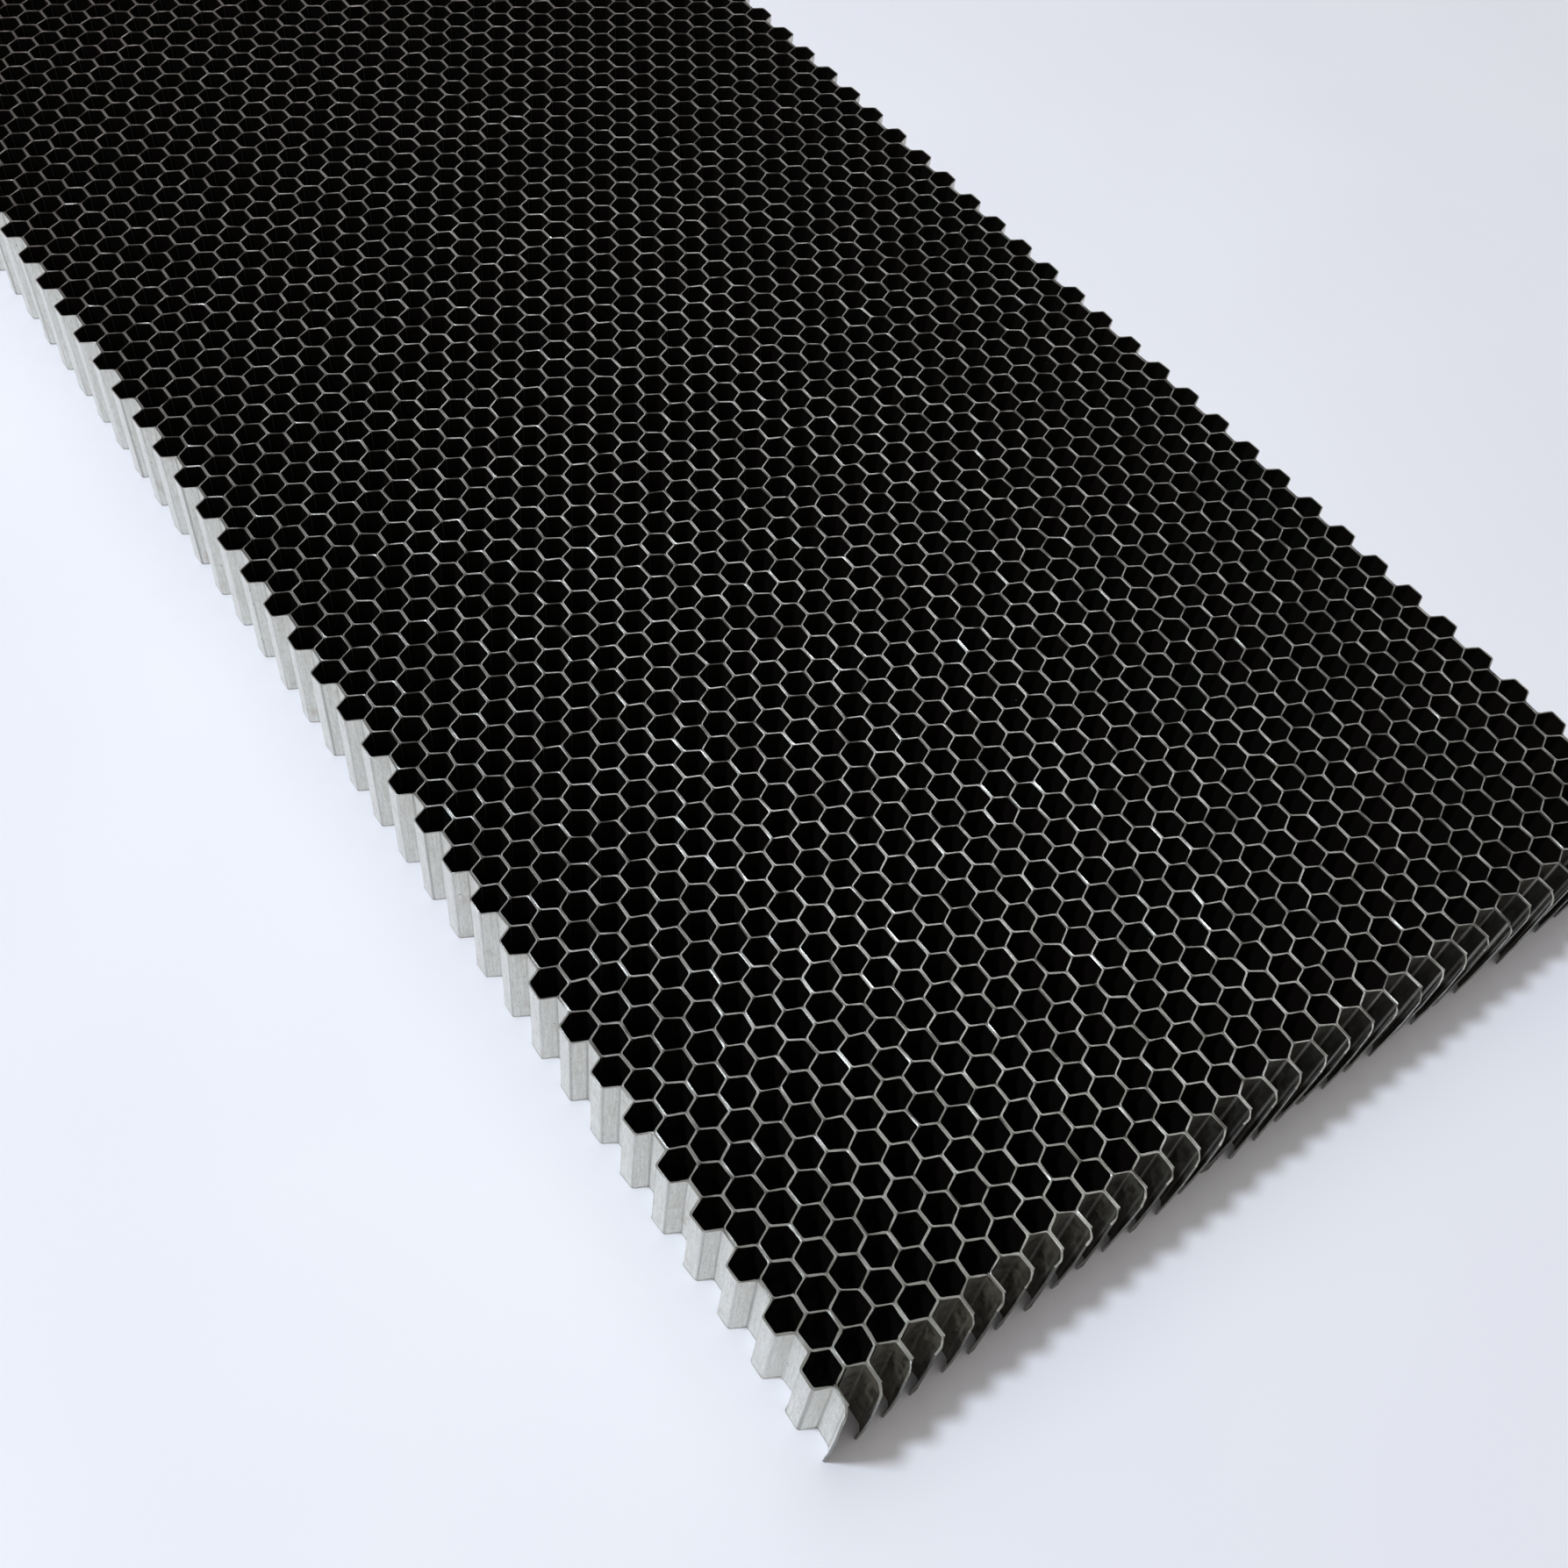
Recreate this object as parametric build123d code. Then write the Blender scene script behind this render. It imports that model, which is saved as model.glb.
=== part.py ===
from build123d import *
import math
import os

# Honeycomb grid: a bare slab of expanded aluminium honeycomb core. Thin foils run
# along X and zigzag across Y. Each foil is bonded to the next one along its flats,
# so the cells are hexagons whose flats are two foils thick. Millimetres, +Z up, with
# the origin at the middle of the underside.

# Driving dimensions
cell_width = 3.2            # pitch of the cells across the slab, flat to flat
cell_length = 5.1           # pitch of the cells along the slab
cells_across = 33
cells_along = 42
slab_height = 12.0
flat_length = 1.87          # bonded flat of a foil
foil_thickness = 0.14       # foil with its coating
glue_gap = 0.03             # the glue line between two bonded flats
end_wall_angle = 58.0       # the free end wall of a foil has sprung open to this angle
foils_per_node = 2

# Worked out from them
foil_count = 2 * cells_across
row_pitch = cell_width / 2
wall_run = cell_length / 2 - flat_length
wall_length = math.hypot(wall_run, row_pitch)
end_run = wall_length * math.cos(math.radians(end_wall_angle))
end_drop = wall_length * math.sin(math.radians(end_wall_angle))
flat_offset = (foil_thickness + glue_gap) / 2
half_length = (cells_along * cell_length + flat_length) / 2


def row_y(row):
    """The line of flats between two foils, from 0 at the -Y side."""
    return (row - cells_across) * row_pitch


def flat_starts(row):
    """Where each flat of a row begins along X. Odd rows reach both ends of the slab."""
    count = cells_along + row % 2
    first = -half_length + (0 if row % 2 else cell_length / 2)
    return [first + n * cell_length for n in range(count)]


def foil_path(foil):
    """Centreline of one foil, from its -X end to its +X end."""
    path = []
    for row, offset in ((foil, flat_offset), (foil + 1, -flat_offset)):
        for start in flat_starts(row):
            path.append((start, row_y(row) + offset))
            path.append((start + flat_length, row_y(row) + offset))
    path.sort()
    if foil % 2 == 0:
        # the +X end keeps one more wall, towards -Y
        x, y = path[-1]
        path.append((x + end_run, y - end_drop))
    else:
        # the -X end keeps one more wall, towards +Y
        x, y = path[0]
        path.insert(0, (x - end_run, y + end_drop))
    return path


def beside(path, distance):
    """The path moved sideways by a distance, with mitred corners and square ends."""
    moved = []
    for n, (x, y) in enumerate(path):
        near = path[max(n - 1, 0):n + 2]
        turns = [math.atan2(b[1] - a[1], b[0] - a[0]) for a, b in zip(near, near[1:])]
        middle = sum(turns) / len(turns)
        reach = distance / math.cos((turns[-1] - turns[0]) / 2)
        moved.append((x - reach * math.sin(middle), y + reach * math.cos(middle)))
    return moved


def foil_solid(foil):
    """One corrugated foil standing on edge."""
    path = foil_path(foil)
    outline = beside(path, foil_thickness / 2) + beside(path, -foil_thickness / 2)[::-1]
    section = Face(Wire.make_polygon([Vector(x, y, 0) for x, y in outline], close=True))
    return extrude(section, amount=slab_height, dir=(0, 0, 1))


def save(name, solids):
    """Write one node. Its separate solids stay separate."""
    node = Compound(label=name, children=solids) if len(solids) > 1 else solids[0]
    node.label = name
    export_step(node, os.path.join("parts", name + ".step"), write_pcurves=False)


os.makedirs("parts", exist_ok=True)

# The two outer foils show one bare side each, so they are nodes of their own.
save("side_foil_left", [foil_solid(0)])
save("side_foil_right", [foil_solid(foil_count - 1)])

inner = list(range(1, foil_count - 1))
for n in range(0, len(inner), foils_per_node):
    save(f"inner_foils_{n // foils_per_node + 1:02d}", [foil_solid(f) for f in inner[n:n + foils_per_node]])

print("foils", foil_count, "length over end walls", round(2 * (half_length + end_run), 1))
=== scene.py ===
import math

import bpy
import numpy as np
from mathutils import Matrix, Vector


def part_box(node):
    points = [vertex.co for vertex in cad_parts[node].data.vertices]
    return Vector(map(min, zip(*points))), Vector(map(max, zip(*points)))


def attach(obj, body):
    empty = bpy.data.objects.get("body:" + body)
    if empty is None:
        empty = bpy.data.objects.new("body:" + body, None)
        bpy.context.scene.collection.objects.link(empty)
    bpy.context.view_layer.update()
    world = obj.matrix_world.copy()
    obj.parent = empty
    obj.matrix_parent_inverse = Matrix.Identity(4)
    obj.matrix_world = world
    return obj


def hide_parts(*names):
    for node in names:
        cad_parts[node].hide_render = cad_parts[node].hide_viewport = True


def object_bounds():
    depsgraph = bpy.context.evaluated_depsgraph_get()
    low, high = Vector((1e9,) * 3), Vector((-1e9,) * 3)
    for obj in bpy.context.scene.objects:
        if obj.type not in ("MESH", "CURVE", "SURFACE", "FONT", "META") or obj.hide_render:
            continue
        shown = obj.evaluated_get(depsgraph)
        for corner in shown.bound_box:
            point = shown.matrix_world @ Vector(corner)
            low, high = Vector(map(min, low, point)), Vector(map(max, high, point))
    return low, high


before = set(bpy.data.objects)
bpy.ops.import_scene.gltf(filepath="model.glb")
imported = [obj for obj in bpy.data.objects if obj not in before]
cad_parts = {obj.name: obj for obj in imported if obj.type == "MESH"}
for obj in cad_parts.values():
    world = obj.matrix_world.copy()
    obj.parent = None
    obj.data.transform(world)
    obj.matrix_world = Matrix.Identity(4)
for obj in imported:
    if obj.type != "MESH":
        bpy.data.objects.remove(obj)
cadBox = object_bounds()
mm = 0.001

# The slab: foils run along X and are bonded to each other along their flats. Row 0 is the line of
# flats on the -Y side, and foil n lies between row n and row n + 1.
slab = {
    "cellsAcross": 33,
    "cellsAlong": 42,
    "flatLength": 1.87 * mm,
    "foilThickness": 0.14 * mm,
    "glueGap": 0.03 * mm,
    "endWallAngle": math.radians(58),
    "seed": 7,
}
low, high = cadBox
slabHeight = high.z - low.z
foilCount = 2 * slab["cellsAcross"]
rowPitch = (high.y - low.y + slab["glueGap"]) / foilCount
halfLength = -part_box("side_foil_left")[0].x
cellLength = (2 * halfLength - slab["flatLength"]) / slab["cellsAlong"]
wallRun = cellLength / 2 - slab["flatLength"]
wallLength = math.hypot(wallRun, rowPitch)
flatOffset = (slab["foilThickness"] + slab["glueGap"]) / 2
random = np.random.default_rng(slab["seed"])
cellSize = f"{2 * rowPitch / mm:.2f} x {cellLength / mm:.2f} mm"
print("slab", foilCount, "foils, cell", cellSize)


class Wire:
    # A shader socket that takes part in sums as a number does.
    def __init__(self, tree, socket=None):
        self.tree = tree
        self.socket = socket

    def node(self, kind, settings, sockets, out=0):
        # any node: its settings, then the values and links of its sockets, and the output wanted
        made = self.tree.nodes.new("ShaderNode" + kind)
        for name, value in settings.items():
            setattr(made, name, value)
        for name, value in sockets.items():
            if isinstance(value, Wire):
                self.tree.links.new(value.socket, made.inputs[name])
            else:
                made.inputs[name].default_value = value
        return None if out is None else Wire(self.tree, made.outputs[out])

    def sum(self, operation, a, b):
        return self.node("Math", {"operation": operation}, {0: a, 1: b})

    def __add__(self, other):
        return self.sum("ADD", self, other)

    def __radd__(self, other):
        return self.sum("ADD", other, self)

    def __sub__(self, other):
        return self.sum("SUBTRACT", self, other)

    def __rsub__(self, other):
        return self.sum("SUBTRACT", other, self)

    def __mul__(self, other):
        return self.sum("MULTIPLY", self, other)

    def __rmul__(self, other):
        return self.sum("MULTIPLY", other, self)

    def ramp(self, start, end):
        # 0 up to start, 1 from end on, and smooth between them
        settings = {"interpolation_type": "SMOOTHSTEP"}
        return self.node("MapRange", settings, {"Value": self, "From Min": start, "From Max": end})

    def mix(self, first, second):
        # the first colour where this is 0 and the second where it is 1
        settings = {"data_type": "RGBA", "clamp_factor": True}
        return self.node("Mix", settings, {0: self, 6: first, 7: second}, 2)


def newMaterial(name):
    # An empty material with its node tree and the piece's own coordinates.
    material = bpy.data.materials.new(name)
    material.use_nodes = True
    material.node_tree.nodes.clear()
    tree = Wire(material.node_tree)
    place = tree.node("TexCoord", {}, {}, "Object")
    return material, tree, place


def finishMaterial(tree, sockets, bump=None, depth=0.0):
    # One shader closes the material, and a height, where there is one, tips its normal by a bump.
    if bump:
        sockets["Normal"] = tree.node("Bump", {}, {"Height": bump, "Distance": depth})
    shader = tree.node("BsdfPrincipled", {}, sockets)
    tree.node("OutputMaterial", {}, {"Surface": shader}, None)


def noise(tree, place, size, detail=3.0, rough=0.6, stretch=(1, 1, 1), offset=(0, 0, 0)):
    # Noise with features of about the given size in metres, drawn out along an axis by its stretch.
    scale = tuple(1 / (size * s) for s in stretch)
    moved = tree.node("Mapping", {}, {"Vector": place, "Scale": scale, "Location": offset})
    sockets = {"Vector": moved, "Scale": 1.0, "Detail": detail, "Roughness": rough}
    return tree.node("TexNoise", {}, sockets, 0)


def axis(tree, place, which):
    # One coordinate of a place: 0 along the slab, 1 across it, 2 up.
    return tree.node("SeparateXYZ", {}, {"Vector": place}, which)


def between(values, share):
    # The first value where the share is 0, going down to the second where it is 1.
    return values[0] - share * (values[0] - values[1])


blackCoat = {
    "green": (0.0055, 0.0065, 0.0045, 1),
    "brown": (0.0085, 0.0060, 0.0050, 1),
    "streak": (0.017, 0.016, 0.014, 1),
    "wornDark": (0.030, 0.024, 0.020, 1),
    "wornLight": (0.118, 0.120, 0.098, 1),
    "blotch": (0.016, 0.010, 0.008, 1),
    "bendHighlight": (0.52, 0.49, 0.45, 1),
    "scuffed": (0.20, 0.20, 0.18, 1),
    "corner": (0.235, 0.212, 0.150, 1),
    "scuffDepth": 0.15 * mm,
    "rimEdge": 0.02 * mm,
    "wornDepth": 2.6 * mm,
    "patchSize": 9 * mm,
    "streakSize": 0.16 * mm,
    "smearSize": 1.1 * mm,
    "grainSize": 0.4 * mm,
    "blotchSize": 0.9 * mm,
    "minusYPaleRun": (4 * mm, 46 * mm),
    "roughness": (0.55, 0.30),
    "specular": 0.28,
    "bump": 0.012 * mm,
}


def makeBlackCoat():
    # Black coating: patches of green-black and brown-black with faint upright streaks. A band just
    # inside both cut rims is scuffed grey. The open faces at the slab's ends, where the attribute
    # "open" is 1, are rubbed to an uneven grey-brown that is palest near the rim, with blotches of
    # coat left on, and painted paler towards the -Y side; lower "open" on the flats towards +Y is painted
    # shade. Creases, where the attribute "bend" is 1, carry a painted highlight.
    look = blackCoat
    material, tree, place = newMaterial("blackCoat")
    height = axis(tree, place, 2)
    openFace = tree.node("Attribute", {"attribute_name": "open"}, {}, "Fac")
    bend = tree.node("Attribute", {"attribute_name": "bend"}, {}, "Fac")
    patches = noise(tree, place, look["patchSize"], 2.0).ramp(0.40, 0.62)
    streaks = noise(tree, place, look["streakSize"], 4.0, 0.65, (1, 1, 24))
    smears = noise(tree, place, look["smearSize"], 3.0, 0.65, (0.6, 0.6, 2.2))
    grain = noise(tree, place, look["grainSize"], 3.0, 0.7, (1, 1, 0.5))
    blotches = noise(tree, place, look["blotchSize"], 2.0, 0.5, (1, 1, 1.6), (3, 1, 2))
    nearTop = height.ramp(slabHeight - look["scuffDepth"], slabHeight - look["rimEdge"])
    nearFoot = 1 - height.ramp(look["rimEdge"], look["scuffDepth"])
    scuff = (nearTop + nearFoot) * (grain.ramp(0.25, 0.65) * 0.6 + 0.4)
    tint = patches.mix(look["green"], look["brown"])
    tint = (streaks.ramp(0.52, 0.80) * 0.6).mix(tint, look["streak"])
    upper = height.ramp(slabHeight - look["wornDepth"], slabHeight)
    rubbed = smears.ramp(0.36, 0.72) * 0.55 + upper * 0.45 + streaks.ramp(0.55, 0.75) * 0.12
    # the open faces are painted paler towards the -Y side, mixing towards the corner colour there
    start, end = look["minusYPaleRun"]
    minusYPale = 1 - axis(tree, place, 1).ramp(low.y + start, low.y + end)
    wearAndPaintedLight = rubbed.mix(look["wornDark"], look["wornLight"])
    wearAndPaintedLight = (minusYPale * (rubbed * 0.5 + 0.28)).mix(wearAndPaintedLight, look["corner"])
    wearAndPaintedLight = (blotches.ramp(0.54, 0.60) * 0.6).mix(wearAndPaintedLight, look["blotch"])
    colour = scuff.mix(openFace.mix(tint, wearAndPaintedLight), look["scuffed"])
    # painted highlight: the bend lines are coloured bright where their rounded corners would catch the
    # light
    colour = (bend * grain.ramp(0.2, 0.5)).mix(colour, look["bendHighlight"])
    roughness = between(look["roughness"], streaks.ramp(0.3, 0.7))
    sockets = {"Base Color": colour, "Roughness": roughness, "Specular IOR Level": look["specular"]}
    finishMaterial(tree, sockets, streaks, look["bump"])
    return material


cutRim = {
    "dark": (0.15, 0.15, 0.14, 1),
    "light": (0.62, 0.62, 0.59, 1),
    "rolled": (0.25, 0.25, 0.215, 1),
    "dullToneAndShade": (0.13, 0.13, 0.12, 1),
    "farShade": (0.175, 0.142, 0.128, 1),
    "grainSize": 0.10 * mm,
    "patchSize": 1.6 * mm,
    "rolledRun": 50 * mm,
    "rolledAcross": 15 * mm,
    "leftShadeFrom": 30 * mm,
    "rightShadeFrom": 5 * mm,
    "farShadeEnd": 35 * mm,
    "roughness": (0.46, 0.26),
    "metallic": 0.93,
    "bump": 0.02 * mm,
}


def makeCutRim():
    # Bare aluminium where the foils were cut: fine mottled scratches of light and dark grey, soft where
    # the rims are rolled at the +X end, painted shade near both long sides, reddish-brown painted shade
    # towards -X.
    look = cutRim
    material, tree, place = newMaterial("cutRim")
    grain = noise(tree, place, look["grainSize"], 3.0, 0.7)
    patches = noise(tree, place, look["patchSize"], 2.0, 0.5)
    level = grain.ramp(0.28, 0.66) * 0.6 + patches.ramp(0.35, 0.65) * 0.4
    colour = level.mix(look["dark"], look["light"])
    along, across = axis(tree, place, 0), axis(tree, place, 1)
    rolled = along.ramp(halfLength - look["rolledRun"], halfLength)
    rolled = rolled * (1 - across.ramp(low.y, look["rolledAcross"]) * 0.7)
    colour = (rolled * 0.75).mix(colour, look["rolled"])
    # painted shade: the rims are darker near both long sides, where they catch less reflected light
    leftShade = 1 - across.ramp(low.y, low.y + look["leftShadeFrom"])
    dullToneAndShade = leftShade * 0.6 + across.ramp(look["rightShadeFrom"], high.y) * 0.4
    colour = dullToneAndShade.mix(colour, look["dullToneAndShade"])
    # painted shade: the rims turn darker and reddish-brown towards the -X end
    farShade = 1 - along.ramp(-halfLength, look["farShadeEnd"])
    colour = (farShade * (patches * 0.3 + 0.6)).mix(colour, look["farShade"])
    roughness = between(look["roughness"], grain.ramp(0.3, 0.7))
    sockets = {"Base Color": colour, "Roughness": roughness, "Metallic": look["metallic"]}
    finishMaterial(tree, sockets, grain, look["bump"])
    return material


bareSide = {
    "metal": (0.93, 0.935, 0.89, 1),
    "dullToneAndShade": (0.66, 0.655, 0.60, 1),
    "stain": (0.46, 0.37, 0.28, 1),
    "creaseShade": (0.30, 0.29, 0.26, 1),
    "speck": (0.05, 0.045, 0.04, 1),
    "streakSize": 0.14 * mm,
    "mottleSize": 0.17 * mm,
    "stainSize": 2.2 * mm,
    "speckSize": 0.35 * mm,
    "cutFootAndShadeRun": (0.04 * mm, 0.30 * mm),
    "roughness": (0.50, 0.34),
    "metallic": 0.25,
    "bump": 0.02 * mm,
}


def makeBareSide():
    # Uncoated outer face: pale rolled aluminium with upright streaks and fine mottling, painted shade
    # along the creases, painted contact shadow with the darker cut edge at the foot, faint brown stains,
    # dark specks.
    look = bareSide
    material, tree, place = newMaterial("bareSide")
    creaseShade = tree.node("Attribute", {"attribute_name": "bend"}, {}, "Fac")
    streaks = noise(tree, place, look["streakSize"], 4.0, 0.6, (1, 1, 30))
    mottle = noise(tree, place, look["mottleSize"], 3.0, 0.7, (1, 1, 4))
    stains = noise(tree, place, look["stainSize"], 3.0, 0.6, (1, 1, 1.4))
    specks = noise(tree, place, look["speckSize"], 1.0, 0.4)
    level = streaks.ramp(0.35, 0.70) * 0.5 + mottle.ramp(0.30, 0.62) * 0.5
    colour = level.mix(look["dullToneAndShade"], look["metal"])
    colour = (stains.ramp(0.56, 0.76) * 0.40).mix(colour, look["stain"])
    # painted shade: contact shadow at the foot together with the darker cut edge; the creases get the
    # same painted shade
    foot = 1 - axis(tree, place, 2).ramp(*look["cutFootAndShadeRun"])
    colour = (creaseShade * 0.85 + foot * 0.6).mix(colour, look["creaseShade"])
    colour = (specks.ramp(0.74, 0.80) * 0.7).mix(colour, look["speck"])
    roughness = between(look["roughness"], streaks.ramp(0.3, 0.7))
    sockets = {"Base Color": colour, "Roughness": roughness, "Metallic": look["metallic"]}
    finishMaterial(tree, sockets, level, look["bump"])
    return material


glueLook = {
    "coated": (0.006, 0.006, 0.005, 1),
    "cut": (0.20, 0.19, 0.17, 1),
    "cutDepth": 0.09 * mm,
    "cutEdge": 0.04 * mm,
    "smearSize": 0.2 * mm,
    "roughness": 0.8,
    "specular": 0.1,
    "bump": 0.01 * mm,
}


def makeGlue():
    # Cured adhesive: under the black coating all the way down, and smeared grey where it was cut.
    look = glueLook
    material, tree, place = newMaterial("curedGlue")
    height = axis(tree, place, 2)
    smear = noise(tree, place, look["smearSize"], 2.0)
    cut = height.ramp(slabHeight - look["cutDepth"], slabHeight - look["cutEdge"])
    cut = cut + 1 - height.ramp(look["cutEdge"], look["cutDepth"])
    colour = (cut * (smear.ramp(0.3, 0.6) * 0.6 + 0.4)).mix(look["coated"], look["cut"])
    sockets = {
        "Base Color": colour,
        "Roughness": look["roughness"],
        "Specular IOR Level": look["specular"],
    }
    finishMaterial(tree, sockets, smear, look["bump"])
    return material


materials = {
    "coat": makeBlackCoat(),
    "rim": makeCutRim(),
    "side": makeBareSide(),
    "glue": makeGlue(),
}
print("materials made")


def meshFromGrid(name, points, faces, slots, materialOfFace):
    # Puts whole arrays of corners and faces, all with as many sides, into a new mesh object.
    mesh = bpy.data.meshes.new(name)
    mesh.vertices.add(len(points))
    mesh.vertices.foreach_set("co", points.astype(np.float32).ravel())
    mesh.loops.add(faces.size)
    mesh.loops.foreach_set("vertex_index", faces.astype(np.int32).ravel())
    mesh.polygons.add(len(faces))
    starts = np.arange(0, faces.size, faces.shape[1], dtype=np.int32)
    mesh.polygons.foreach_set("loop_start", starts)
    mesh.polygons.foreach_set("material_index", materialOfFace.astype(np.int32))
    mesh.update(calc_edges=True)
    mesh.validate()
    for slot in slots:
        mesh.materials.append(materials[slot])
    made = bpy.data.objects.new(name, mesh)
    bpy.context.scene.collection.objects.link(made)
    return made


def smoothNoise(count, length, spread):
    # Random numbers averaged over a run of neighbours, so that they wander instead of jumping.
    loose = random.normal(0, 1, count + 4 * length)
    window = np.hanning(2 * length + 1)
    window = window / np.sqrt((window**2).sum())
    return spread * np.convolve(loose, window, "same")[2 * length:2 * length + count]


# The lattice: where every flat of every row begins and ends, with the small errors of a real slab.
lattice = {
    "nodeScatter": 0.028 * mm,
    "wander": 0.05 * mm,
    "flatTurn": math.radians(1.6),
    "flatGrowth": 0.04,
    "swingScatter": math.radians(5),
    "bow": math.radians(18),
    "bowSpread": (0.4, 1.2),
    "endWallSpread": (0.94, 1.02),
    "driftTurns": {"x": (0.4, 1.9), "y": (2.6, 1.1)},
    "driftSpans": (61 * mm, 23 * mm),
    "driftPhases": (0.7, 2.1),
    "secondDrift": 0.6,
    "endFade": 3 * mm,
    "sideFade": 3.0,
    "sideLeast": 0.15,
}
rowCount = foilCount + 1
flatCount = slab["cellsAlong"] + 1
rows = np.arange(rowCount)[:, None]
places = np.arange(flatCount)[None, :]
centreX = -halfLength + slab["flatLength"] / 2 + (places + 0.5 * (1 - rows % 2)) * cellLength
centreY = (rows - slab["cellsAcross"]) * rowPitch + 0 * centreX


def wave(x, y, turn, which):
    # A sine across the slab: its phase is the distance along a line turned by the given angle.
    along = x * math.cos(turn) + y * math.sin(turn)
    span, phase = lattice["driftSpans"][which], lattice["driftPhases"][which]
    return np.sin(along * 2 * math.pi / span + phase)


def shiftOf(way):
    # How far each flat is off its place: two slow waves and a scatter, less near the slab's edges.
    firstTurn, secondTurn = lattice["driftTurns"][way]
    second = lattice["secondDrift"] * wave(centreX, centreY, secondTurn, 1)
    drift = wave(centreX, centreY, firstTurn, 0) + second
    scatter = random.normal(0, lattice["nodeScatter"], centreX.shape)
    inside = np.clip((halfLength - np.abs(centreX)) / lattice["endFade"], 0, 1) if way == "x" else 1.0
    edge = np.minimum(rows, foilCount - rows) / lattice["sideFade"]
    inside = inside * np.clip(edge, lattice["sideLeast"], 1)
    return (drift * lattice["wander"] + scatter) * inside


centreX = centreX + shiftOf("x")
centreY = centreY + shiftOf("y")
turn = random.normal(0, lattice["flatTurn"], centreX.shape)
half = slab["flatLength"] / 2 * (1 + random.normal(0, lattice["flatGrowth"], centreX.shape))
alongX, alongY = np.cos(turn), np.sin(turn)


def foilCorners(foil):
    # The corners of a foil's centreline: the flats of its two rows in turn, each moved off the row's
    # line by half the gap and foil, and then two short runs that bow outwards past one end.
    count = slab["cellsAlong"]
    corners = np.zeros((2 * count + 1, 2, 2))
    for row, offset in ((foil, flatOffset), (foil + 1, -flatOffset)):
        if row % 2:
            into, take = slice(0, None, 2), count + 1
        else:
            into, take = slice(1, None, 2), count
        x, y = centreX[row, :take], centreY[row, :take]
        cx, cy, reach = alongX[row, :take], alongY[row, :take], half[row, :take]
        corners[into, 0, 0] = x - reach * cx - offset * cy
        corners[into, 0, 1] = y - reach * cy + offset * cx
        corners[into, 1, 0] = x + reach * cx - offset * cy
        corners[into, 1, 1] = y + reach * cy + offset * cx
    path = corners.reshape(-1, 2)
    swing = slab["endWallAngle"] + random.normal(0, lattice["swingScatter"])
    length = wallLength / 2 * random.uniform(*lattice["endWallSpread"])
    bow = lattice["bow"] * random.uniform(*lattice["bowSpread"])
    near = length * np.array([math.cos(swing - bow), math.sin(swing - bow)])
    far = near + length * np.array([math.cos(swing + bow), math.sin(swing + bow)])
    if foil % 2 == 0:
        return np.vstack([path, path[-1] + near * (1, -1), path[-1] + far * (1, -1)])
    return np.vstack([path[0] + far * (-1, 1), path[0] + near * (-1, 1), path])


foilShape = {
    "bend": 0.24 * mm,
    "bendSteps": (0.0, 0.33, 0.67, 1.0),
    "levels": (0.0, 0.010, 0.30, 0.66, 0.990, 1.0),
    "thickness": 0.112 * mm,
    "burr": (0.12, 1.25),
    "burrFrom": 45 * mm,
    "burrLeast": 0.25,
    "burrLevel": 0.6,
    "burrWave": 0.28,
    "burrScatter": 0.16,
    "burrMost": 1.7,
    "bulge": 0.018 * mm,
    "lean": 0.10 * mm,
    "ragged": 0.012 * mm,
    "raggedFoot": 0.4,
    "tilt": 0.014 * mm,
    "curl": 0.16 * mm,
    "curlSpread": (0.2, 1.0),
    "endPoints": 11,
    "innerRub": 0.06,
    "openFlatShade": 0.8,
    "footSwing": 0.34 * mm,
    "edgeBurr": 0.8,
    "openBefore": 0.3 * mm,
    "farFrom": 30 * mm,
    "farRun": 40 * mm,
    "creaseNear": 0.3,
    "creaseSpread": (0.3, 1.0),
}


def foilLine(foil):
    # The centreline with its corners rounded: each becomes four points of a curve that leaves one
    # straight and joins the next, and each straight keeps one point in its middle.
    path = foilCorners(foil)
    runs = np.diff(path, axis=0)
    lengths = np.linalg.norm(runs, axis=1, keepdims=True)
    runs = runs / lengths
    corner, before, after = path[1:-1], runs[:-1], runs[1:]
    reach = np.minimum(foilShape["bend"], 0.4 * np.minimum(lengths[:-1], lengths[1:]))
    start, end = corner - before * reach, corner + after * reach
    bends = [
        (1 - s) ** 2 * start + 2 * s * (1 - s) * corner + s**2 * end
        for s in foilShape["bendSteps"]
    ]
    middles = np.empty_like(corner)
    middles[:-1] = (end[:-1] + start[1:]) / 2
    middles[-1] = (end[-1] + path[-1]) / 2
    curve = np.stack([*bends, middles], axis=1).reshape(-1, 2)
    firstMiddle = (path[0] + start[0]) / 2
    return np.vstack([path[0], firstMiddle, curve, path[-1]])


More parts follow.
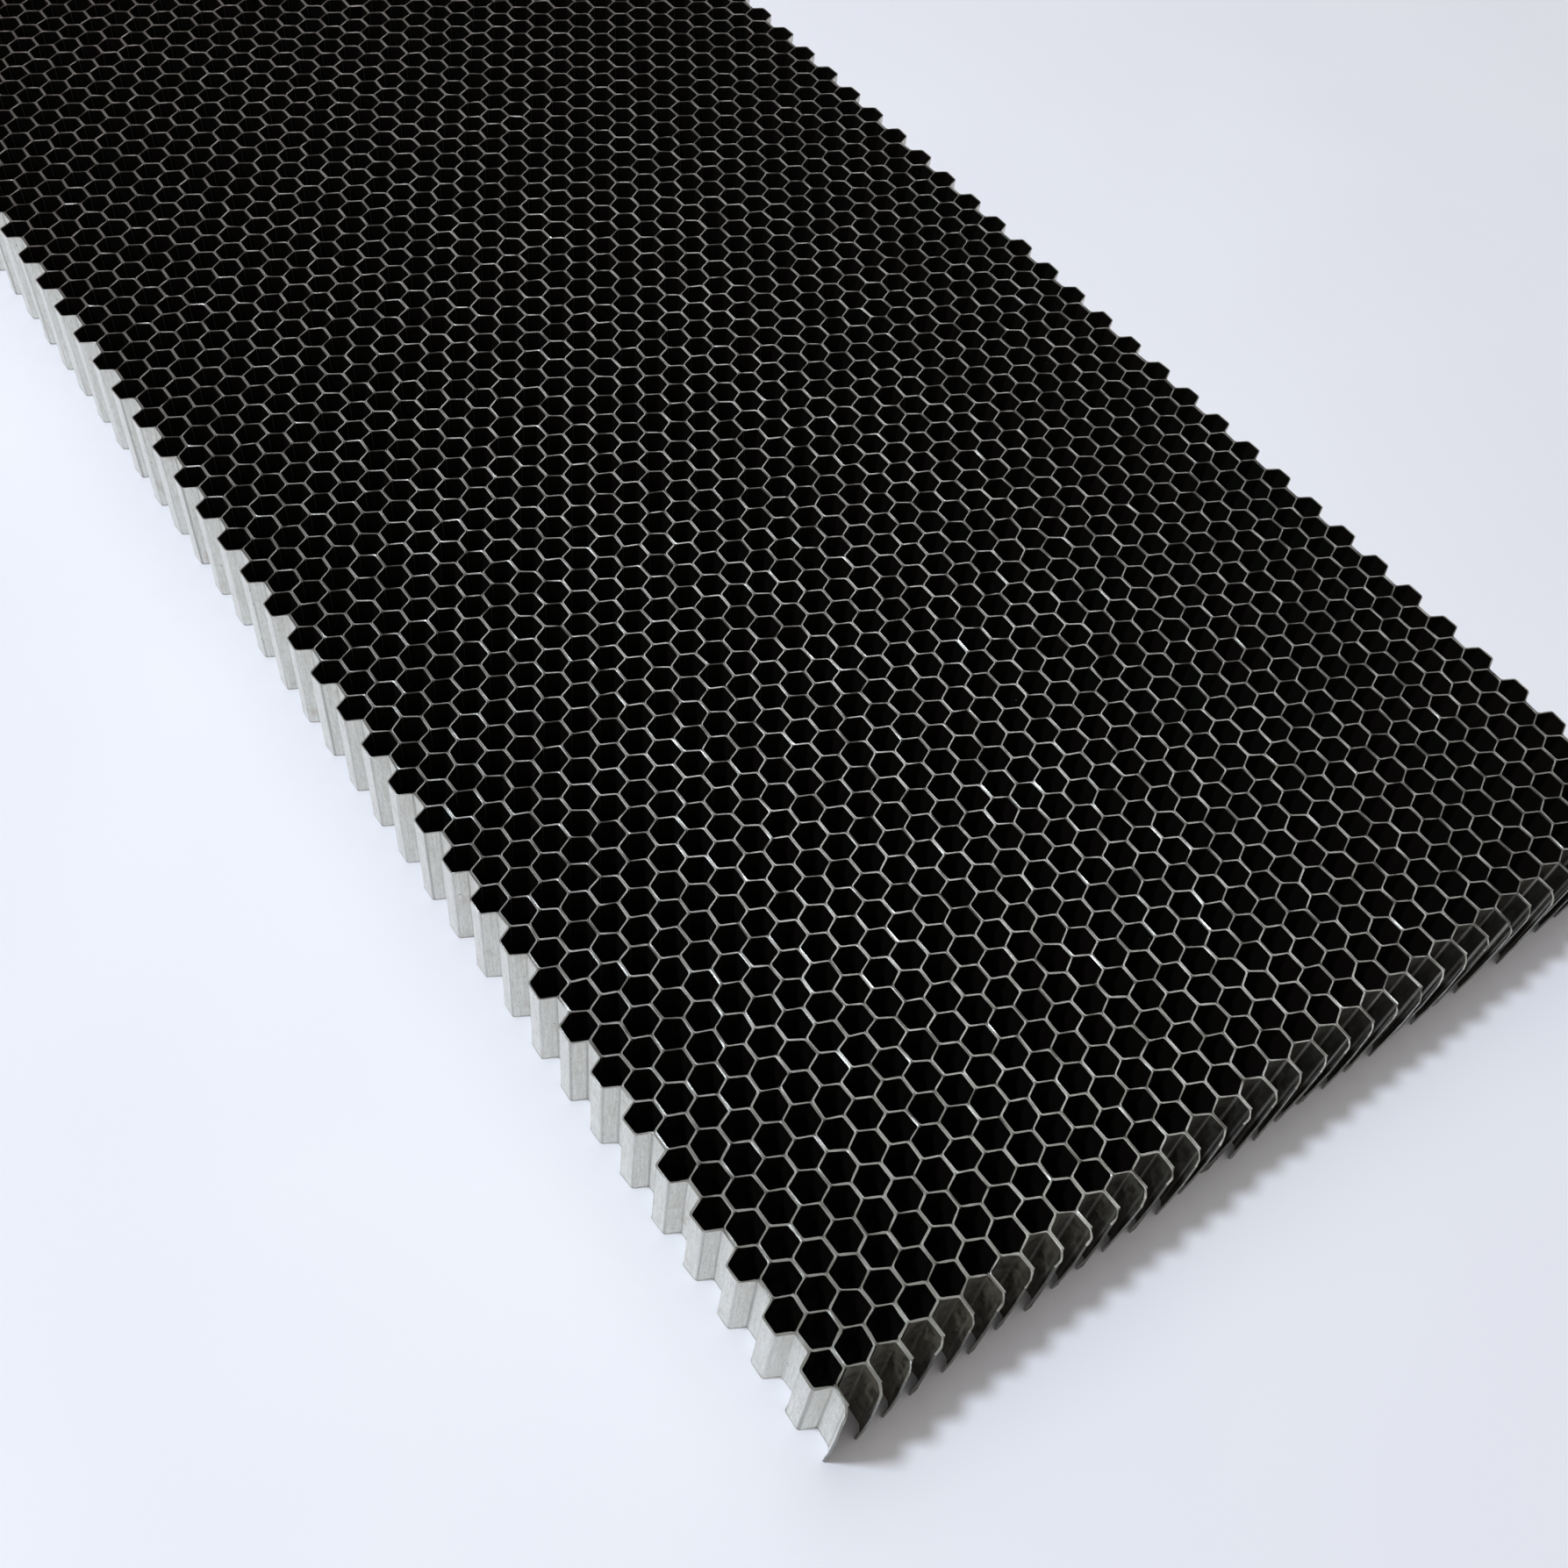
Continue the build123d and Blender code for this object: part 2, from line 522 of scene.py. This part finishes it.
def foilMesh(foil):
    # A wall standing on the centreline: at each point of the line and each level, one point either
    # side at half the thickness, so that a ring of points goes up one side and down the other.
    shape = foilShape
    line = foilLine(foil)
    count = len(line)
    along = np.gradient(line, axis=0)
    along = along / np.linalg.norm(along, axis=1, keepdims=True)
    across = np.stack([-along[:, 1], along[:, 0]], axis=1)
    levels = np.array(shape["levels"])
    levelCount = len(levels)
    rightSide, leftSide = slice(0, levelCount), slice(levelCount, None)
    heights = np.repeat(levels[None, :], count, axis=0) * slabHeight
    thick = np.full((count, levelCount), shape["thickness"] / 2)
    # the cut has rolled the rims over, most at two opposite corners of the slab
    endness = (np.abs(line[:, 0]) - shape["burrFrom"]) / (halfLength - shape["burrFrom"])
    endness = np.clip(endness, 0, 1)
    sideways = line[:, 1] * np.sign(line[:, 0])  # measured the same way from both ends
    cornerness = np.clip(0.5 - sideways / (high.y - low.y), 0, 1) ** 2
    cornerness = shape["burrLeast"] + (1 - shape["burrLeast"]) * cornerness
    leastBurr, mostBurr = shape["burr"]
    rolled = leastBurr + (mostBurr - leastBurr) * endness * cornerness
    for level in (0, -1):
        burr = shape["burrLevel"] + smoothNoise(count, 4, shape["burrWave"])
        burr = burr + random.normal(0, shape["burrScatter"], count)
        thick[:, level] *= 1 + rolled * np.clip(burr, 0, shape["burrMost"])
    ragged = shape["ragged"]
    heights[:, -1] += np.clip(smoothNoise(count, 3, ragged), -2 * ragged, 0.9 * ragged)
    heights[:, 0] += np.abs(smoothNoise(count, 3, shape["raggedFoot"] * ragged))
    sway = np.zeros((count, levelCount, 2))
    middle = np.sin(np.pi * levels)
    bulge = smoothNoise(count, 3, shape["bulge"])
    sway += (bulge[:, None] * middle[None, :])[:, :, None] * across[:, None, :]
    # the free end wall leans a little, curls in the middle and swings in at the foot
    free = np.zeros(count)
    ending = shape["endPoints"]
    if foil % 2 == 0:
        atEnd, freeEnd, outwards = slice(-ending, None), -1, 1
        outFace, inFace = rightSide, leftSide
        free[atEnd] = np.linspace(0, 1, ending)
    else:
        atEnd, freeEnd, outwards = slice(0, ending), 0, -1
        outFace, inFace = leftSide, rightSide
        free[atEnd] = np.linspace(1, 0, ending)
    lean = random.normal(0, shape["lean"], 2)
    sway += (free[:, None] * (1 - levels)[None, :])[:, :, None] * lean[None, None, :]
    curl = random.uniform(*shape["curlSpread"]) * shape["curl"] * outwards
    sway[:, :, 0] += (free**2)[:, None] * middle[None, :] * curl
    footwards = (1 - levels)[None, :] ** 1.5
    sway[:, :, 0] -= (free**2)[:, None] * footwards * shape["footSwing"] * outwards
    widest = shape["thickness"] / 2 * (1 + shape["edgeBurr"])
    burred = thick[freeEnd] * (1 + shape["edgeBurr"] * cornerness[freeEnd])
    thick[freeEnd] = np.minimum(burred, widest)
    right = line[:, None, :] - across[:, None, :] * thick[:, :, None] + sway
    left = line[:, None, :] + across[:, None, :] * thick[:, :, None] + sway
    ring = np.concatenate([right, left[:, ::-1]], axis=1)
    tilt = smoothNoise(count, 2, shape["tilt"])
    tall = np.concatenate([heights, heights[:, ::-1]], axis=1)
    tall[:, levelCount - 1] += tilt
    tall[:, levelCount] -= tilt
    points = np.concatenate([ring, tall[:, :, None]], axis=2)
    # the faces beyond the last cells, which look out of the slab's ends
    lastCell = halfLength - cellLength / 2
    openFace = np.zeros(points.shape[:2])
    openFace[:, outFace] = (np.abs(line[:, 0]) > lastCell - shape["openBefore"])[:, None]
    around = 2 * levelCount
    index = np.arange(count * around).reshape(count, around)
    following = np.roll(index, -1, axis=1)
    sides = np.stack([index[:-1], index[1:], following[1:], following[:-1]], axis=2)
    # which material each face has: 0 coat, 1 cut rim, 2 bare side
    kinds = np.zeros((count - 1, around), int)
    kinds[:, levelCount - 1] = 1
    kinds[:, around - 1] = 1
    if foil == 0:
        kinds[:, :levelCount - 1] = 2
    if foil == foilCount - 1:
        kinds[:, levelCount:around - 1] = 2
    rungs = np.arange(levelCount - 1)
    capRing = np.stack([rungs, rungs + 1, around - 2 - rungs, around - 1 - rungs], axis=1)
    firstCap, lastCap = index[0][capRing], index[-1][capRing[:, ::-1]]
    faces = np.concatenate([sides.reshape(-1, 4), firstCap, lastCap])
    kinds = np.concatenate([kinds.ravel(), np.ones(2 * len(rungs), int)])
    # the two middle points of each bend, which has five points with the straight's middle after it
    bend = np.zeros(count)
    for step in (1, 2):
        bend[2 + step:-1:5] = 1
    # towards +Y the open flats are painted darker, shade for flats turned from the light, and their
    # creases get a stronger painted highlight
    farness = np.clip((sideways + shape["farFrom"]) / shape["farRun"], 0, 1)
    creases = shape["creaseNear"] + (1 - shape["creaseNear"]) * farness
    showsBends = openFace * creases[:, None]
    flatness = np.clip(1.6 - 2.6 * np.abs(along[:, 1]), 0, 1)  # 1 on the flats, 0 on the walls
    # painted shade: a lower "open" keeps these flats near black
    openFace = openFace * (1 - shape["openFlatShade"] * flatness * farness)[:, None]
    openFace[atEnd, inFace] = shape["innerRub"]
    # the bare outer faces get painted shade along every crease
    if foil == 0:
        showsBends[:, rightSide] = 1
    if foil == foilCount - 1:
        showsBends[:, leftSide] = 1
    # the strength of each bend point's painted highlight on the open faces and painted crease shade on
    # the bare faces
    wearAndPaintedLight = random.uniform(*shape["creaseSpread"], count) ** 2
    bend = showsBends * (bend * wearAndPaintedLight)[:, None]
    return points.reshape(-1, 3), faces, kinds, openFace.ravel(), bend.ravel()


def foilPiece(name, foils, node):
    # One piece from its foils' arrays joined end to end, with "open" and "bend" kept on its points.
    made = [foilMesh(foil) for foil in foils]
    starts = np.cumsum([0] + [len(part[0]) for part in made])
    points = np.concatenate([part[0] for part in made])
    faces = np.concatenate([part[1] + start for part, start in zip(made, starts)])
    kinds = np.concatenate([part[2] for part in made])
    piece = meshFromGrid(name, points, faces, ("coat", "rim", "side"), kinds)
    for place, label in ((3, "open"), (4, "bend")):
        mark = piece.data.attributes.new(label, "FLOAT", "POINT")
        values = np.concatenate([part[place] for part in made])
        mark.data.foreach_set("value", values.astype(np.float32))
    piece.data.shade_smooth()
    piece.data.set_sharp_from_angle(angle=math.radians(50))
    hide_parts(node)
    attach(piece, "root")


foilPiece("sideFoilLeft", [0], "side_foil_left")
for pair in range(slab["cellsAcross"] - 1):
    number = f"{pair + 1:02d}"
    foils = [2 * pair + 1, 2 * pair + 2]
    foilPiece("innerFoils" + number, foils, "inner_foils_" + number)
foilPiece("sideFoilRight", [foilCount - 1], "side_foil_right")
print("foils made")


glueShape = {
    "setback": 0.03 * mm,
    "flare": 0.16 * mm,
    "fill": 0.10 * mm,
    "wedge": 0.055 * mm,
}


def gluePiece():
    # One eight-sided strip for each bonded flat: as thin as the gap along the flat, and spreading
    # into the crotch at each end where the two foils part.
    measures = np.stack([centreX, centreY, alongX, alongY, half], axis=2)
    strips = []
    for row in range(1, foilCount):
        take = flatCount if row % 2 else flatCount - 1
        strips.append(measures[row, :take])
    strip = np.concatenate(strips)
    inner, outer = strip[:, 4] - glueShape["flare"], strip[:, 4] + glueShape["fill"]
    thin = np.full(len(strip), slab["glueGap"] / 2)
    wide = thin + glueShape["wedge"]
    u = np.stack([-outer, -inner, inner, outer, outer, inner, -inner, -outer], axis=1)
    v = np.stack([-wide, -thin, -thin, -wide, wide, thin, thin, wide], axis=1)
    x = strip[:, 0:1] + u * strip[:, 2:3] - v * strip[:, 3:4]
    y = strip[:, 1:2] + u * strip[:, 3:4] + v * strip[:, 2:3]
    count = len(strip)
    foot = np.stack([x, y, np.full_like(x, glueShape["setback"])], axis=2)
    head = np.stack([x, y, np.full_like(x, slabHeight - glueShape["setback"])], axis=2)
    points = np.concatenate([foot, head], axis=1).reshape(-1, 3)
    base = (np.arange(count) * 16)[:, None, None]
    k = np.arange(8)
    ring = np.stack([k, (k + 1) % 8, (k + 1) % 8 + 8, k + 8], axis=1)[None]
    footCaps = [[0, 7, 6, 1], [1, 6, 5, 2], [2, 5, 4, 3]]
    headCaps = [[8, 9, 14, 15], [9, 10, 13, 14], [10, 11, 12, 13]]
    caps = np.array(footCaps + headCaps)[None]
    faces = np.concatenate([(base + ring).reshape(-1, 4), (base + caps).reshape(-1, 4)])
    piece = meshFromGrid("nodeGlue", points, faces, ("glue",), np.zeros(len(faces), int))
    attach(piece, "root")


gluePiece()
print("glue made")


swarf = {
    "count": 70,
    "size": (0.03 * mm, 0.085 * mm),
    "squash": 0.6,
    "standoff": 0.02 * mm,
    "shallowest": 0.15 * mm,
    "deepest": 2.2 * mm,
    "reach": 0.8,
}


def swarfPiece():
    # Crumbs of aluminium from the cut, stuck to the walls below the upper rims: each is an
    # octahedron squashed and turned at random, sunk a little into the face of a flat.
    count = swarf["count"]
    row = random.integers(2, foilCount - 2, count)
    index = random.integers(1, flatCount - 2, count)
    size = random.uniform(*swarf["size"], (count, 1, 3)) * (1, swarf["squash"], 1)
    offset = flatOffset + foilShape["thickness"] / 2 + swarf["standoff"]
    side = random.choice((-1, 1), count) * offset
    along = random.uniform(-swarf["reach"], swarf["reach"], count) * half[row, index]
    cx, cy = alongX[row, index], alongY[row, index]
    x = centreX[row, index] + along * cx - side * cy
    y = centreY[row, index] + along * cy + side * cx
    z = slabHeight - swarf["shallowest"] - swarf["deepest"] * random.random(count) ** 2
    octahedron = [[1, 0, 0], [0, 1, 0], [-1, 0, 0], [0, -1, 0], [0, 0, 1], [0, 0, -1]]
    corners = np.array(octahedron)[None] * size
    spin = random.uniform(0, math.pi, (count, 1))
    turnedX = corners[:, :, 0] * np.cos(spin) - corners[:, :, 2] * np.sin(spin)
    turnedZ = corners[:, :, 0] * np.sin(spin) + corners[:, :, 2] * np.cos(spin)
    points = np.stack([turnedX + x[:, None], corners[:, :, 1] + y[:, None], turnedZ + z[:, None]], axis=2)
    upperFaces = [[0, 1, 4], [1, 2, 4], [2, 3, 4], [3, 0, 4]]
    lowerFaces = [[1, 0, 5], [2, 1, 5], [3, 2, 5], [0, 3, 5]]
    eight = np.array(upperFaces + lowerFaces)
    faces = (np.arange(count)[:, None, None] * 6 + eight[None]).reshape(-1, 3)
    kinds = np.zeros(len(faces), int)
    piece = meshFromGrid("cutCrumbs", points.reshape(-1, 3), faces, ("rim",), kinds)
    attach(piece, "root")


swarfPiece()
print("crumbs made")


paper = {
    "tones": ((0.82, 0.82, 0.86, 1), (0.84, 0.845, 0.87, 1)),
    "toneSize": 60 * mm,
    "roughness": 0.7,
    "reach": 3.0,
    "drop": 0.02 * mm,
}


def makeFloor():
    # A square sheet of pale paper just under the slab, very faintly uneven in tone.
    material, tree, place = newMaterial("palePaper")
    tone = noise(tree, place, paper["toneSize"], 2.0)
    colour = tone.ramp(0.3, 0.7).mix(*paper["tones"])
    finishMaterial(tree, {"Base Color": colour, "Roughness": paper["roughness"]})
    reach = paper["reach"]
    corners = [(-reach, -reach, 0), (reach, -reach, 0), (reach, reach, 0), (-reach, reach, 0)]
    mesh = bpy.data.meshes.new("floor")
    mesh.from_pydata(corners, [], [(0, 1, 2, 3)])
    mesh.materials.append(material)
    floor = bpy.data.objects.new("floor", mesh)
    bpy.context.scene.collection.objects.link(floor)
    floor.location.z = low.z - paper["drop"]


lighting = {
    "aim": Vector((0.04, 0, 0)),
    "keyPlace": Vector((-0.11, -0.38, 0.75)),
    "keySize": 0.11,
    "keyPower": 4.3,
    "keyColour": (0.80, 0.88, 1.0),
    "windowPlace": Vector((-0.42, 0.40, 1.25)),
    "windowSize": 1.1,
    "windowPower": 2.4,
    "windowColour": (0.90, 0.94, 1.0),
    "horizon": (0.095, 0.075, 0.070, 1),
    "zenith": (0.66, 0.645, 0.63, 1),
    "rise": (0.30, 0.88),
    "backdrop": (0.72, 0.74, 0.78, 1),
}


def softbox(kind):
    # A round soft light, key or window, turned to face the aim.
    name = kind + "Softbox"
    light = bpy.data.lights.new(name, "AREA")
    light.shape = "DISK"
    light.size = lighting[kind + "Size"]
    light.energy = lighting[kind + "Power"]
    light.color = lighting[kind + "Colour"]
    made = bpy.data.objects.new(name, light)
    made.location = lighting[kind + "Place"]
    facing = lighting["aim"] - lighting[kind + "Place"]
    made.rotation_euler = facing.to_track_quat("-Z", "Y").to_euler()
    bpy.context.scene.collection.objects.link(made)


def makeLights():
    # Two soft lights in a room that is dim at the horizon and brightens towards the ceiling.
    look = lighting
    softbox("key")
    softbox("window")
    world = bpy.data.worlds.new("studio")
    world.use_nodes = True
    world.node_tree.nodes.clear()
    tree = Wire(world.node_tree)
    direction = tree.node("TexCoord", {}, {}, "Generated")
    colour = axis(tree, direction, 2).ramp(*look["rise"]).mix(look["horizon"], look["zenith"])
    # seen straight on, the room is a pale backdrop
    seen = tree.node("LightPath", {}, {}, "Is Camera Ray")
    room = tree.node("Background", {}, {"Color": seen.mix(colour, look["backdrop"])})
    tree.node("OutputWorld", {}, {"Surface": room}, None)
    bpy.context.scene.world = world


cameraView = {
    "place": Vector((127.8, -87.4, 151.2)) * mm,
    "aim": Vector((57.66, -21.04, 12.0)) * mm,
    "roll": math.radians(9.21),
    "lens": 40.25,
    "sensor": 36,
    "clip": (0.01, 20),
}


def makeCamera():
    # Looks from its place to its aim, then rolls about that line.
    view = cameraView
    data = bpy.data.cameras.new("camera")
    data.lens = view["lens"]
    data.sensor_width = view["sensor"]
    data.clip_start, data.clip_end = view["clip"]
    camera = bpy.data.objects.new("camera", data)
    turned = (view["aim"] - view["place"]).to_track_quat("-Z", "Y").to_matrix().to_4x4()
    roll = Matrix.Rotation(view["roll"], 4, "Z")
    camera.matrix_world = Matrix.Translation(view["place"]) @ turned @ roll
    bpy.context.scene.collection.objects.link(camera)
    bpy.context.scene.camera = camera


makeFloor()
makeLights()
makeCamera()
bpy.context.scene.view_settings.view_transform = "Standard"
print("floor, light and camera made")
